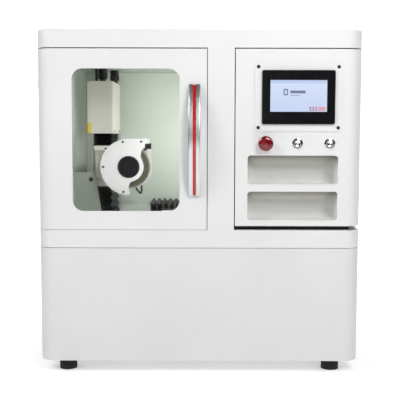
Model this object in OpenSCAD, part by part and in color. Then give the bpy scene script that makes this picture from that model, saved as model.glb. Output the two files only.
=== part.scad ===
// Tool sharpening machine: a floor cabinet of white sheet steel in two sections.
// A windowed door closes the grinding chamber on the left and a door with the controls
// and two storage trays closes the electrical compartment on the right.
// Inside the chamber a grinding wheel under a cut-away guard rides on an upright slide.
// +X is to the right, +Y runs from the front to the back and +Z is up.

/* [Cabinet] */
// Width of the cabinet without its hinges
body_w = 900; // [890:2:920]
// Depth of the cabinet without the handle and the rear gland
body_d = 700; // [690:5:760]
// Height of the base section
base_h = 320; // [280:5:360]
// Height of both door openings
opening_h = 502; // [502:1:530]
// Height of the plain band above the doors
top_band_h = 50; // [40:1:60]
// Radius of the upright corners
corner_r = 42; // [40:1:44]
// Radius of the top edges
edge_r = 4.5; // [3:0.5:6]
// Thickness of the sheet steel
sheet = 2; // [1.6:0.2:2]

/* [Doors] */
// Gap around the left door
door_gap = 1; // [1:0.5:3]
// Gap under the right door
lower_gap = 12; // [8:1:12]
// Depth of the doors' folded edges
door_t = 20; // [18:1:20]
// Width of the window
window_w = 296; // [260:2:300]
// Height of the window
window_h = 392; // [360:2:396]
// Corner radius of the window
window_r = 30; // [10:1:40]
// Thickness of the window pane
pane_t = 5; // [4:0.5:6]

/* [Handle] */
// How far the handle stands out from the door
handle_out = 52; // [46:1:60]
// Width of the handle
handle_w = 33; // [26:1:36]
// Thickness of the handle's bow
handle_t = 9; // [8:0.5:10]
// Half angle of the handle's bow
handle_half = 32; // [30:1:32]

/* [Controls] */
// Width of the control plate
plate_w = 240; // [230:2:250]
// Height of the control plate
plate_h = 187; // [180:1:190]
// Diameter of the emergency stop's head
stop_d = 41; // [36:1:44]
// Diameter of the two push buttons' bezels
bezel_d = 31; // [26:1:32]
// Depth of the storage trays
tray_d = 90; // [60:5:90]

/* [Grinding head] */
// Diameter of the grinding wheel
wheel_d = 125; // [110:1:130]
// Thickness of the grinding wheel
wheel_t = 15; // [10:1:16]
// Outer radius of the wheel guard
guard_r = 82.5; // [80:0.5:84]
// Depth of the wheel guard
guard_d = 50; // [46:1:50]
// Radius of the spindle housing
spindle_r = 38; // [34:1:38]

/* [Feet] */
// Diameter of the rubber feet
foot_d = 50; // [40:1:60]
// Distance of each foot's centre from the sides
foot_in = 71; // [50:1:80]

/* [Hidden] */
$fn = 64;
white = [0.93, 0.93, 0.92];
pale_green = [0.74, 0.80, 0.74];
steel = [0.62, 0.63, 0.65];
iron = [0.36, 0.38, 0.38];
black = [0.08, 0.08, 0.08];
// The levels of the cabinet
foot_h = 38;
base_top = foot_h + base_h;
deck_z = base_top + 1.5;
sill_z = deck_z + 49.5;
lintel_z = sill_z + opening_h;
top_z = lintel_z + top_band_h;
half_w = body_w / 2;
rear_out = 20;
front_y = -(body_d + rear_out - handle_out) / 2;
shell_d = body_d - 1.5;
// The upright lines of the front, from the cabinet's middle
left_free = 20.5;
post_l = 22.5;
post_r = 96;
right_free = 98.8;
side_d = 80;
jamb_x = half_w - 29;
stop_d0 = 26;
// The grinding chamber
wall_l = -half_w + 72;
wall_r = 15;
ceil_z = lintel_z - 32;
liner_t = 1.5;
liner_d0 = stop_d0 + sheet;
back_d = 480;
floor_z = deck_z + 3.5;
pad_z = deck_z + 12.5;
// Hinges
hinge_r = 3.6;
hinge_x = half_w + hinge_r + 0.3;
pin_r = 2;
hinge_z = [sill_z + 60, lintel_z - 130];
// The window
win_x = -203;
win_z = sill_z + 249;
// The handle
handle_x = -14;
handle_z = sill_z + 249;
bow_r = 289;
// Controls
plate_x = 271;
plate_z = sill_z + 367.5;
hmi_w = 200.4;
hmi_h = 147;
screen_w = 155;
screen_h = 86;
screen_z = sill_z + 371;
button_z = sill_z + 241;
stop_x = 181;
power_x = 270;
start_x = 359;
tray_x = 258;
tray_w = 250;
tray_h = 80;
tray_r = 8.5;
scoop_r = 31;
tray_z = [sill_z + 68, sill_z + 168];
// The upright slide
col_x = -294;
screw_d = 248;
rail_d0 = 276;
column_d = 300;
cover_z0 = deck_z + 317.5;
cover_z1 = cover_z0 + 156;
saddle_z0 = deck_z + 157.5;
saddle_z1 = saddle_z0 + 123;
gland_1 = [-301, 290];
gland_2 = [-275, 388];
tube_at = [-315, 250];
drive_z = deck_z + 300;
conduit_r = 13.5;
gland_r = 9.3;
// The grinding spindle
wheel_x = -208;
wheel_z = deck_z + 219.5;
guard_d0 = 130;
wheel_d0 = 145;
hub_r = 43.7;
back_r = 65.5;
guard_holes = [[-16.7, 73], [37.2, 74.2], [-66.8, 53.9], [-74.5, 0], [-15.5, -73]];
// The cross slide
way_z = pad_z;
table_x0 = -241;
table_x1 = -149;
table_d0 = 200;
table_d1 = 375;
table_z = deck_z + 100.5;
lead_z = deck_z + 40.5;
lead_d = 287.5;
work_z = deck_z + 70.5;
work_d = 150;

// ---- Helpers ----

// Moves what is measured from the cabinet's front plane into the part's frame
module from_front() {
    translate([0, front_y, 0]) children();
}

// A block between limits along X, Y and Z
module slab(x, y, z) {
    translate([x[0], y[0], z[0]]) cube([x[1] - x[0], y[1] - y[0], z[1] - z[0]]);
}

module rod_x(x, y, z, r) {
    translate([x[0], y, z]) rotate([0, 90, 0]) cylinder(h = x[1] - x[0], r = r);
}

module rod_y(x, y, z, r) {
    translate([x, y[1], z]) rotate([90, 0, 0]) cylinder(h = y[1] - y[0], r = r);
}

module rod_z(x, y, z, r) {
    translate([x, y, z[0]]) cylinder(h = z[1] - z[0], r = r);
}

// Extrudes an outline drawn in X and Z between two depths
module upright(y) {
    translate([0, y[1], 0]) rotate([90, 0, 0]) linear_extrude(y[1] - y[0]) children();
}

// Turns a profile about an axis along Y; the profile's height points to the front
module turned(x, y, z) {
    translate([x, y, z]) rotate([90, 0, 0]) rotate_extrude() children();
}

// A rectangle with round corners about its centre
module round_rect(w, h, r) {
    square([w, h - 2 * r], center = true);
    square([w - 2 * r, h], center = true);
    for (x = [-1, 1], y = [-1, 1])
        translate([x * (w / 2 - r), y * (h / 2 - r)]) circle(r);
}

// The cabinet's plan, drawn inwards by an inset
module plan(inset = 0, depth = body_d) {
    translate([0, depth / 2])
        round_rect(body_w - 2 * inset, depth - 2 * inset, corner_r - inset);
}

// A block with round upright corners and a rounded top edge
module soft_block(w, d, h, rc, re) {
    module edge() {
        square([rc - re, h]);
        square([rc, h - re]);
        translate([rc - re, h - re]) circle(re);
    }
    module side(len) {
        translate([0, len / 2, 0]) rotate([90, 0, 0]) linear_extrude(len) edge();
    }
    translate([-w / 2 + rc, rc, 0]) cube([w - 2 * rc, d - 2 * rc, h]);
    for (t = [[-1, 0, 180], [1, 0, 270], [1, 1, 0], [-1, 1, 90]])
        translate([t[0] * (w / 2 - rc), t[1] == 0 ? rc : d - rc, 0])
            rotate([0, 0, t[2]]) rotate_extrude(angle = 90) edge();
    translate([w / 2 - rc, d / 2, 0]) side(d - 2 * rc);
    translate([-w / 2 + rc, d / 2, 0]) rotate([0, 0, 180]) side(d - 2 * rc);
    translate([0, d - rc, 0]) rotate([0, 0, 90]) side(w - 2 * rc);
    translate([0, rc, 0]) rotate([0, 0, 270]) side(w - 2 * rc);
}

// A solid through a list of rings that all have the same number of points
module loft(rings) {
    n = len(rings[0]);
    m = len(rings);
    points = [for (ring = rings) for (p = ring) p];
    ends = [[for (j = [0:n - 1]) j], [for (j = [0:n - 1]) m * n - 1 - j]];
    sides = [for (i = [0:m - 2]) for (j = [0:n - 1]) for (k = [0, 1])
        let (a = i * n + j, b = i * n + (j + 1) % n)
            k == 0 ? [a, a + n, b + n] : [a, b + n, b]];
    polyhedron(points = points, faces = concat(ends, sides));
}

function unit(v) = v / norm(v);
function along(p, i) = unit(p[min(i + 1, len(p) - 1)] - p[max(i - 1, 0)]);
function blend(a, b, c, d, t) =
    0.5 * (2 * b + (c - a) * t + (2 * a - 5 * b + 4 * c - d) * t * t
        + (3 * b - a - 3 * c + d) * t * t * t);
function route(p, k) = concat(
    [for (i = [0:len(p) - 2]) for (s = [0:k - 1])
        blend(p[max(i - 1, 0)], p[i], p[i + 1], p[min(i + 2, len(p) - 1)], s / k)],
    [p[len(p) - 1]]);

// A round tube's solid swept along a route that never runs along Y
module swept(path, r, sides = 10) {
    loft([for (i = [0:len(path) - 1])
        let (t = along(path, i), a = unit(cross([0, 1, 0], t)), b = cross(t, a))
            [for (k = [0:sides - 1])
                path[i] + r * (cos(360 * k / sides) * a + sin(360 * k / sides) * b)]]);
}

// The edge of a folded cover: one side of it zigzags between two widths
function folds(z, pleats, out, fold, crest) =
    [for (i = [0:2 * pleats]) [out - ((i + crest) % 2 == 0 ? fold : 0),
        z[0] + i * (z[1] - z[0]) / pleats / 2]];
function turned_back(p) = [for (i = [1:len(p)]) p[len(p) - i]];

// The solid inside a folded cover's three pleated sides, open towards +Y
module folded_block(x, y, z, pleats, fold, crest) {
    intersection() {
        translate([0, y[1] + 10, 0]) rotate([90, 0, 0]) linear_extrude(y[1] - y[0] + 30)
            polygon(concat(folds(z, pleats, x[1], fold, crest), turned_back(
                [for (p = folds(z, pleats, -x[0], fold, crest)) [-p[0], p[1]]])));
        translate([x[0] - 10, 0, 0]) rotate([90, 0, 90]) linear_extrude(x[1] - x[0] + 20)
            polygon(concat([[y[1], z[0]], [y[1], z[1]]], turned_back(
                [for (p = folds(z, pleats, -y[0], fold, crest)) [-p[0], p[1]]])));
    }
}

// A pleated cover around three sides of a slide, open towards +Y, stacked along Z;
// crest is 1 where the low end is the outside of a fold
module bellows(x, y, z, pleats, fold, crest = 0, skin = 2) {
    difference() {
        folded_block(x, y, z, pleats, fold, crest);
        folded_block([x[0] + skin, x[1] - skin], [y[0] + skin, y[1] + 1], z, pleats,
            fold, crest);
    }
}

// A button-head screw along Y with its head to the front
module button_screw(x, y, z, r, len) {
    turned(x, y, z) {
        square([r * 0.42, len / 100]);
        difference() {
            intersection() {
                square([r, r * 0.62]);
                translate([0, -r * 0.75]) circle(r * 1.36);
            }
            translate([0, r * 0.3]) square([r * 0.38, r]);
        }
    }
    rod_y(x, [y, y + len], z, r * 0.42);
}

// ---- Cabinet ----

module base_shell() {
    color(white) from_front() difference() {
        union() {
            translate([0, 0, foot_h]) linear_extrude(3) plan();
            translate([0, 0, foot_h]) linear_extrude(base_h) difference() {
                plan();
                plan(2.5);
            }
            translate([0, 0, base_top - 2.5]) linear_extrude(2.5) difference() {
                plan();
                plan(24);
            }
            translate([0, 0, base_top - 2.5]) linear_extrude(4) difference() {
                plan(5);
                plan(24);
            }
            for (x = [-250, 100])
                slab([x, x + 40], [40, body_d - 40], [foot_h + 3, foot_h + 18]);
        }
        for (x = [-1, 1], y = [65, body_d - 65])
            rod_z(x * (half_w - foot_in), y, [foot_h - 1, foot_h + 4], 6.6);
    }
}

module foot_pads() {
    color(black) from_front()
        for (x = [-1, 1], y = [65, body_d - 65])
            translate([x * (half_w - foot_in), y, 0]) rotate_extrude() difference() {
                union() {
                    square([foot_d / 2, 18]);
                    translate([0, 1]) polygon([[0, 0], [foot_d / 2, 17],
                        [foot_d / 2 - 1, 20], [foot_d / 2 - 6, 26], [0, 26]]);
                }
                translate([0, 10]) square([6.05, 30]);
                translate([foot_d / 2, 14.6]) circle(1.2);
                translate([0, -1]) square([foot_d / 2 - 8, 3]);
            }
}

module foot_studs() {
    color(steel) from_front()
        for (x = [-1, 1], y = [65, body_d - 65])
            translate([x * (half_w - foot_in), y, 0]) {
                translate([0, 0, 10]) cylinder(h = 58, r = 6);
                translate([0, 0, 27.4]) cylinder(h = foot_h - 27.4, r = 11, $fn = 6);
                translate([0, 0, foot_h + 3]) cylinder(h = 10, r = 11, $fn = 6);
            }
}

// Hollow cast bed with the raised pad that carries both slides
module machine_bed() {
    color(iron) from_front() difference() {
        union() {
            slab([-390, 40], [110, 570], [foot_h + 18, deck_z - 19.5]);
            slab([-335, 12], [205, 478], [deck_z - 20, pad_z]);
            slab([2, 12], [262, 313], [pad_z - 1, lead_z + 16]);
        }
        for (x = [-365, -165])
            slab([x, x + 180], [135, 325], [foot_h + 17, deck_z - 55]);
        for (x = [-365, -165])
            slab([x, x + 180], [355, 545], [foot_h + 17, deck_z - 55]);
        rod_x([-10, 20], lead_d, lead_z, 6.06);
    }
}

// The flange behind a door's edges, with its fold back to the face of the cabinet
module door_frame(x, inner_x, inner_z) {
    slab([x[0], x[1]], [0, stop_d0 + sheet], [sill_z - sheet, sill_z]);
    slab([x[0], x[1]], [0, stop_d0 + sheet], [lintel_z, lintel_z + sheet]);
    upright([stop_d0, stop_d0 + sheet]) difference() {
        translate([x[0], sill_z - sheet]) square([x[1] - x[0], opening_h + 2 * sheet]);
        translate([inner_x[0], inner_z[0]])
            square([inner_x[1] - inner_x[0], inner_z[1] - inner_z[0]]);
    }
}

// The jamb behind a wrapped door edge, drawn for the right-hand side
module side_jamb() {
    slab([jamb_x - sheet, half_w - 1], [side_d + 2, side_d + 2 + sheet], [sill_z - 1, lintel_z + 1]);
    slab([jamb_x - sheet, jamb_x], [stop_d0, side_d + 3], [sill_z - 1, lintel_z + 1]);
    slab([jamb_x - 1, half_w - 1], [corner_r - 12, side_d + 3], [sill_z - sheet, sill_z]);
    slab([jamb_x - 1, half_w - 1], [corner_r - 12, side_d + 3], [lintel_z, lintel_z + sheet]);
}

// The fixed half of a hinge, drawn for the right-hand side
module hinge_frame_half(z) {
    for (k = [0, 1]) translate([0, 0, z + k * 47]) difference() {
        union() {
            rod_z(hinge_x, side_d, [0, 22], hinge_r);
            slab([half_w, hinge_x], [side_d + 2, side_d + 34], [0, 22]);
            slab([half_w + 0.6, hinge_x + 1.6], [side_d, side_d + 3.6], [0, 22]);
        }
        rod_z(hinge_x, side_d, [-1, 23], pin_r + 0.06);
        slab([hinge_x - 1.2, hinge_x + 9], [side_d + 3.8, side_d + 40], [-1, 23]);
    }
}

// The moving half of a hinge, drawn for the right-hand side
module hinge_door_half(z) {
    difference() {
        union() {
            rod_z(hinge_x, side_d, [z + 22.4, z + 46.6], hinge_r);
            slab([half_w, hinge_x], [side_d - 34, side_d - 2], [z + 22.4, z + 46.6]);
            slab([half_w + 0.6, hinge_x + 1.6], [side_d - 3.6, side_d], [z + 22.4, z + 46.6]);
        }
        rod_z(hinge_x, side_d, [z + 22, z + 47], pin_r + 0.06);
        slab([hinge_x - 1.2, hinge_x + 9], [side_d - 40, side_d - 3.8], [z + 22, z + 47]);
    }
}

module both_sides() {
    children();
    mirror([1, 0, 0]) children();
}

module upper_shell() {
    h = top_z - deck_z;
    color(white) from_front() difference() {
        union() {
            difference() {
                translate([0, 0, deck_z]) soft_block(body_w, shell_d, h, corner_r, edge_r);
                translate([0, 0, deck_z + sheet])
                    linear_extrude(h - 2 * sheet) plan(sheet, shell_d);
                slab([-half_w - 9, post_l], [-9, side_d + 2], [sill_z, lintel_z]);
                slab([post_r, half_w + 9], [-9, side_d + 2], [sill_z, lintel_z]);
                slab([-337, 14], [203, 480], [deck_z - 1, deck_z + 9]);
                for (s = rear_screws()) rod_y(s[0], [shell_d - 9, shell_d + 1], s[1], 1.73);
                upright([shell_d - 9, shell_d + 1])
                    translate([0, (deck_z + top_z) / 2]) round_rect(body_w - 80, h - 110, 10);
            }
            door_frame([-jamb_x, post_l + sheet], [wall_l, wall_r], [sill_z + 12, ceil_z]);
            door_frame([post_r - sheet, jamb_x], [112, 412], [sill_z + 23, lintel_z - 16]);
            slab([post_l, post_l + sheet], [0, stop_d0 + 1], [sill_z - 1, lintel_z + 1]);
            slab([post_r - sheet, post_r], [0, stop_d0 + 1], [sill_z - 1, lintel_z + 1]);
            both_sides() side_jamb();
            both_sides() for (z = hinge_z) hinge_frame_half(z);
        }
    }
}

module vent_slots(x, z, rows) {
    for (i = [0:rows - 1]) translate([x, z + i * 14]) round_rect(70, 5, 2.4);
}

function rear_screws() = [for (x = [-3, -1, 1, 3], z = [deck_z + 40, top_z - 40])
    [x * (half_w - 38) / 3, z]];

module rear_panel() {
    color(white) from_front() upright([shell_d, body_d]) difference() {
        translate([0, (deck_z + top_z) / 2]) round_rect(body_w - 52, top_z - deck_z - 62, 12);
        for (x = [140, 240, 340]) {
            vent_slots(x, top_z - 190, 8);
            vent_slots(x, deck_z + 120, 8);
        }
        for (s = rear_screws()) translate(s) circle(2.2);
        translate([330, deck_z + 72]) circle(10.1);
    }
}

// A rubber ring between limits, its widths given as left, right, bottom and top
module seal_ring(x, z, w) {
    upright([door_t + 0.4, stop_d0]) difference() {
        translate([x[0], z[0]]) square([x[1] - x[0], z[1] - z[0]]);
        translate([x[0] + w[0], z[0] + w[2]])
            square([x[1] - x[0] - w[0] - w[1], z[1] - z[0] - w[2] - w[3]]);
    }
}

// Rubber strips on the flanges, hollowed where the doors' corners curve towards them
module door_seals() {
    x = jamb_x - 1;
    color(black) from_front() difference() {
        union() {
            seal_ring([-x, post_l - 0.3], [sill_z + 1, lintel_z - 0.5], [8, 10, 10, 12]);
            seal_ring([post_r + 0.5, x], [sill_z + 0.5, lintel_z - 0.5], [13, 3, 21, 14]);
        }
        both_sides() translate([half_w - corner_r, corner_r, sill_z]) linear_extrude(opening_h)
            difference() {
                translate([0, -corner_r]) square(corner_r);
                circle(corner_r - door_t - 0.4);
            }
    }
}

// Walls of the grinding chamber
module chamber_liner() {
    t = liner_t;
    z = [deck_z + sheet, ceil_z + t];
    color(pale_green) from_front() difference() {
        union() {
            slab([wall_l - t, wall_l], [liner_d0, back_d + t], z);
            slab([wall_r, wall_r + t], [liner_d0, back_d + t], z);
            slab([wall_l - t, wall_r + t], [back_d, back_d + t], z);
            slab([wall_l - t, wall_r + t], [liner_d0, liner_d0 + t], [z[0], sill_z + 12]);
        }
        rod_x([wall_r - 1, wall_r + 3], lead_d, lead_z, 12);
    }
}

// Sheet let in between the walls' top edges, with a hole for each hose and for the tube
module chamber_ceiling() {
    z = [ceil_z - 1, ceil_z + liner_t + 1];
    color(pale_green) from_front() difference() {
        slab([wall_l, wall_r], [liner_d0, back_d], [ceil_z, ceil_z + liner_t]);
        for (g = [gland_1, gland_2]) rod_z(g[0], g[1], z, conduit_r + 1);
        rod_z(tube_at[0], tube_at[1], z, 5.4);
    }
}

// Drip tray around the slides' pad, with its edges turned up
module chamber_floor() {
    t = 1.5;
    x = [wall_l + 0.3, wall_r - 0.3];
    y = [stop_d0 + sheet + 1.8, back_d - 0.3];
    color(steel) from_front() difference() {
        slab(x, y, [floor_z - t, floor_z + 12]);
        difference() {
            slab([x[0] + t, x[1] - t], [y[0] + t, y[1] - t], [floor_z, floor_z + 13]);
            slab([-338, x[1]], [202, y[1]], [floor_z - 1, floor_z + 14]);
        }
        slab([-336.5, x[1] + 1], [203.5, y[1] + 1], [floor_z - 5, floor_z + 14]);
        rod_z(-300, 110, [floor_z - 5, floor_z + 5], 20);
    }
}

// Plate with a cranked edge that hides the leads beside the upright slide, and the narrow
// angle above it that closes the gap up to the motor cover
module side_cover_plate() {
    z = deck_z;
    color(white) from_front() difference() {
        union() {
            upright([190, 191.5]) polygon([[wall_l + 2.2, floor_z + 0.2],
                [wall_l + 2.2, floor_z + 13], [wall_l, floor_z + 13], [wall_l, z + 201.5],
                [-316, z + 201.5], [-311, z + 184.5], [-308, z + 160.5],
                [-296, z + 85.5], [-284, floor_z + 0.2]]);
            slab([wall_l, wall_l + 1.5], [190, 216], [z + 20, z + 201.5]);
            slab([-338, -320.5], [203.5, 205], [z + 190, cover_z0 - 0.6]);
            slab([-338, -336.5], [190, 300], [z + 190, cover_z0 - 0.6]);
        }
        rod_y(-327, [185, 195], z + 179.5, 5.1);
        rod_y(-366, [185, 195], z + 40, 1.48);
    }
}

module cover_plug() {
    color(black) from_front() {
        turned(-327, 190, deck_z + 179.5) intersection() {
            square([6.5, 3]);
            translate([0, -7.2]) circle(10);
        }
        rod_y(-327, [190, 198], deck_z + 179.5, 5);
    }
}

// Hollow cast column with the shelf that carries the slide's motor
module z_column() {
    color(iron) from_front() difference() {
        union() {
            slab([-313, -275], [column_d, 414], [pad_z, cover_z0]);
            slab([-330, -258], [412, 478], [pad_z, cover_z0]);
            slab([-334, -264], [215, 398], [cover_z0, cover_z0 + 12]);
            slab([-308, -280], [232, 301], [pad_z, pad_z + 12]);
        }
        slab([-318, -270], [422, 468], [pad_z - 1, cover_z0 - 14]);
        rod_z(col_x, screw_d, [pad_z + 2, pad_z + 13], 5.06);
        rod_z(col_x, screw_d, [cover_z0 - 1, cover_z0 + 13], 7.6);
    }
}

// Outline of a profile rail, its foot on the X axis
module rail_outline(w, h) {
    polygon([[-w / 2, 0], [w / 2, 0], [w / 2, h * 0.35], [w / 2 - 2, h * 0.48],
        [w / 2 - 2, h * 0.62], [w / 2, h * 0.75], [w / 2, h - 1], [w / 2 - 1, h],
        [-w / 2 + 1, h], [-w / 2, h - 1], [-w / 2, h * 0.75], [-w / 2 + 2, h * 0.62],
        [-w / 2 + 2, h * 0.48], [-w / 2, h * 0.35]]);
}

module linear_rails() {
    color(steel) from_front() {
        translate([col_x, column_d, pad_z + 14])
            rotate([0, 0, 180]) linear_extrude(cover_z0 - pad_z - 18) rail_outline(23, 24);
        for (y = [225, 350]) translate([-255, y, way_z])
            rotate([90, 0, 90]) linear_extrude(266) rail_outline(15, 13);
    }
}

// A square motor with cut corners, standing on its flange
module motor(w, h, bore) {
    difference() {
        union() {
            linear_extrude(6) round_rect(w, w, 5);
            translate([0, 0, 6]) linear_extrude(h - 24) round_rect(w - 4, w - 4, 9);
            translate([0, 0, h - 18]) linear_extrude(18) round_rect(w, w, 6);
            translate([w / 2 - 4, -9, h - 46]) cube([8, 18, 20]);
        }
        translate([0, 0, -1]) cylinder(h = 19, r = bore);
    }
}

module axis_motors() {
    color([0.13, 0.13, 0.14]) from_front() {
        translate([col_x, screw_d, cover_z0 + 12]) rotate([0, 0, 180]) motor(60, 104, 4.06);
        translate([wall_r + 1.5, lead_d, lead_z]) rotate([0, 90, 0]) rotate([0, 0, 180])
            motor(57, 92, 4.06);
    }
}

module z_motor_cover() {
    color([0.90, 0.89, 0.84]) from_front() difference() {
        translate([-299, 305, cover_z0]) linear_extrude(156) round_rect(78, 210, 3);
        translate([-299, 305, cover_z0 - 1]) linear_extrude(155.5) round_rect(75, 207, 1.6);
        for (g = [gland_1, gland_2])
            rod_z(g[0], g[1], [cover_z1 - 3, cover_z1 + 1], gland_r + 0.05);
        rod_z(tube_at[0], tube_at[1], [cover_z1 - 3, cover_z1 + 1], 5.6);
        for (y = [240, 362]) rod_x([-263, -259], y, cover_z0 + 7, 2.2);
    }
}

// Slim glands whose sleeves hold the wide hoses, and a small one for the tube
module cable_glands() {
    r = conduit_r;
    color(black) from_front() {
        for (g = [gland_1, gland_2]) translate([g[0], g[1], cover_z1]) difference() {
            union() {
                translate([0, 0, -9]) cylinder(h = 24, r = gland_r);
                cylinder(h = 2, r = gland_r + 1.2);
                translate([0, 0, -8]) cylinder(h = 6, r = gland_r + 4, $fn = 6);
                translate([0, 0, 13]) rotate_extrude() polygon([[0, 0], [r - 1, 0],
                    [r + 0.9, 2], [r + 0.9, 15], [r + 0.2, 16], [0, 16]]);
            }
            translate([0, 0, -10]) cylinder(h = 40, r = 6);
            translate([0, 0, 17]) cylinder(h = 20, r = r + 0.05);
        }
        translate([tube_at[0], tube_at[1], cover_z1]) difference() {
            union() {
                translate([0, 0, -3]) cylinder(h = 4, r = 5.5);
                cylinder(h = 3, r = 7.5);
            }
            translate([0, 0, -4]) cylinder(h = 9, r = 4.45);
        }
    }
}

// A quarter bend from upright to level, towards +X for a side of 1
function bend(x, y, z, r, side) =
    [for (a = [0:30:90]) [x + side * r * (1 - cos(a)), y, z + r * sin(a)]];

// Two hoses and a tube from the motor cover, through the ceiling, to the drives
module conduits() {
    z = cover_z1;
    c = ceil_z + 6;
    t = c + 40;
    e = drive_z + 160.6;
    color(black) from_front() {
        swept(route(concat([[-301, 290, z + 17.5], [-301, 290, ceil_z - 13]],
            bend(-301, 290, c, 40, 1), [[-200, 290, t], [-90, 335, t], [-10, 400, t]],
            turned_back(bend(79, 400, c, 40, -1)), [[79, 400, e + 30], [79, 400, e]]), 2),
            conduit_r);
        swept(route(concat([[-275, 388, z + 17.5], [-275, 388, ceil_z - 13]],
            bend(-275, 388, c, 40, 1), [[-160, 388, t], [-60, 434, t], [30, 434, t]],
            turned_back(bend(135, 434, c, 40, -1)), [[135, 434, e + 30], [135, 434, e]]), 2),
            conduit_r);
        swept(route(concat([[-315, 250, z - 6], [-315, 250, ceil_z - 13]],
            bend(-315, 250, c, 40, 1), [[-240, 250, t], [-90, 280, t], [20, 360, t]],
            turned_back(bend(191, 368, c, 40, -1)), [[191, 368, e + 30], [191, 368, e]]), 2),
            4.4, 8);
    }
}

module mounting_plate() {
    z = [deck_z + 22, ceil_z + 10];
    color([0.72, 0.73, 0.72]) from_front() difference() {
        union() {
            slab([wall_r + 1.5, half_w - sheet], [470, 472.5], z);
            slab([wall_r + 1.5, wall_r + 4], [446, 472.5], z);
            slab([half_w - sheet - 2.5, half_w - sheet], [446, 472.5], z);
        }
        for (x = [60:60:400], s = [z[0] + 20, z[1] - 20]) rod_y(x, [465, 475], s, 3);
    }
}

// Four drives side by side, each with a finned back and a recessed terminal strip
module servo_drives() {
    z = drive_z;
    color([0.16, 0.17, 0.18]) from_front() for (i = [0:3]) {
        x = 56 + i * 56;
        difference() {
            slab([x, x + 46], [352, 452], [z, z + 160]);
            slab([x + 6, x + 40], [350, 362], [z + 12, z + 52]);
            slab([x + 10, x + 36], [350, 354], [z + 110, z + 134]);
        }
        for (k = [0:5]) slab([x + 1 + k * 8.4, x + 3 + k * 8.4], [451, 470], [z + 5, z + 155]);
        for (k = [0:3]) rod_y(x + 11 + k * 8, [356, 363], z + 32, 3);
    }
}

module power_supply() {
    z = drive_z;
    color(steel) from_front() difference() {
        slab([296, 408], [414, 470], [z, z + 200]);
        slab([300, 404], [408, 424], [z - 1, z + 18]);
        for (i = [0:8], k = [0:5]) rod_y(310 + i * 10.5, [412, 418], z + 50 + k * 22, 3);
    }
}

// Inlet gland for the mains lead, which is left out
module cord_gland() {
    color(black) from_front() difference() {
        union() {
            rod_y(330, [shell_d - 14, body_d + 1], deck_z + 72, 10);
            translate([330, body_d, deck_z + 72]) rotate([-90, 0, 0])
                cylinder(h = 6, r = 15, $fn = 6);
            translate([330, body_d + 6, deck_z + 72]) rotate([-90, 0, 0]) rotate_extrude()
                polygon([[0, 0], [13.4, 0], [13.4, 7], [12, 10], [9, rear_out - 6],
                    [0, rear_out - 6]]);
        }
        rod_y(330, [shell_d - 20, body_d + 30], deck_z + 72, 5);
    }
}

module hinge_pins() {
    color(steel) from_front() both_sides() for (z = hinge_z) {
        rod_z(hinge_x, side_d, [z - 1, z + 70], pin_r);
        rod_z(hinge_x, side_d, [z - 3, z - 0.5], 3.2);
        rod_z(hinge_x, side_d, [z + 69.5, z + 72], 3.2);
    }
}

module panel_screws() {
    color(black) from_front() {
        for (s = rear_screws()) translate([s[0], body_d, s[1]]) rotate([0, 0, 180])
            button_screw(0, 0, 0, 4, 5);
        for (y = [240, 362]) translate([-260, y, cover_z0 + 7]) rotate([0, 0, 90])
            button_screw(0, 0, 0, 3.4, 3);
        button_screw(-366, 190, deck_z + 40, 3.4, 5);
    }
}

// ---- Grinding head ----

// Outline of the guard's front, measured from the wheel's axis
module guard_outline() {
    difference() {
        union() {
            intersection() {
                circle(guard_r);
                translate([-100, -100]) square([100, 200]);
            }
            circle(hub_r);
            translate([0, 19.4]) square([47.5, guard_r - 19.4]);
        }
        translate([68.6, 34.2]) circle(33);
    }
    difference() {
        polygon([[0, -30], [0, -55], [14.34, -55], [10.6, -41.4], [5, -30]]);
        translate([14.34, -55]) circle(13.14);
    }
    translate([-66.8, 53.9]) circle(5.2);
}

// The guard's rim: the round side, the flat top and the end of the flat top
module guard_rim() {
    difference() {
        intersection() {
            circle(guard_r);
            translate([-100, -100]) square([101.2, 200]);
        }
        circle(guard_r - 3);
    }
    translate([0, guard_r - 3]) square([47.5, 3]);
    translate([44.5, 59.6]) square([3, guard_r - 59.6]);
    intersection() {
        union() for (p = guard_holes) translate(p) circle(6.5);
        union() {
            circle(guard_r);
            translate([0, 60]) square([47.5, guard_r - 60]);
            translate([-66.8, 53.9]) circle(5.2);
        }
    }
}

module wheel_guard() {
    d1 = guard_d0 + guard_d;
    color(white) from_front() difference() {
        union() {
            translate([wheel_x, 0, wheel_z]) upright([guard_d0 + 3, d1]) guard_rim();
            translate([wheel_x, 0, wheel_z]) upright([d1 - 3, d1]) difference() {
                union() {
                    guard_outline();
                    circle(back_r);
                    square([back_r - 3, 52]);
                    translate([40, 40]) square([18.5, guard_r - 40]);
                }
                circle(16);
                translate([52.5, 78.3]) circle(1.6);
            }
        }
        for (p = guard_holes)
            rod_y(wheel_x + p[0], [guard_d0, guard_d0 + 16], wheel_z + p[1], 1.45);
    }
}

module guard_cover() {
    color(white) from_front() translate([wheel_x, 0, wheel_z])
        upright([guard_d0, guard_d0 + 3]) difference() {
            guard_outline();
            for (p = guard_holes) translate(p) circle(1.7);
        }
}

module guard_badge() {
    color(black) from_front() rod_y(wheel_x, [guard_d0 - 1.2, guard_d0], wheel_z, 32.3);
}

module guard_screws() {
    color(black) from_front() for (p = guard_holes)
        button_screw(wheel_x + p[0], guard_d0, wheel_z + p[1], 3.3, 14);
}

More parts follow.
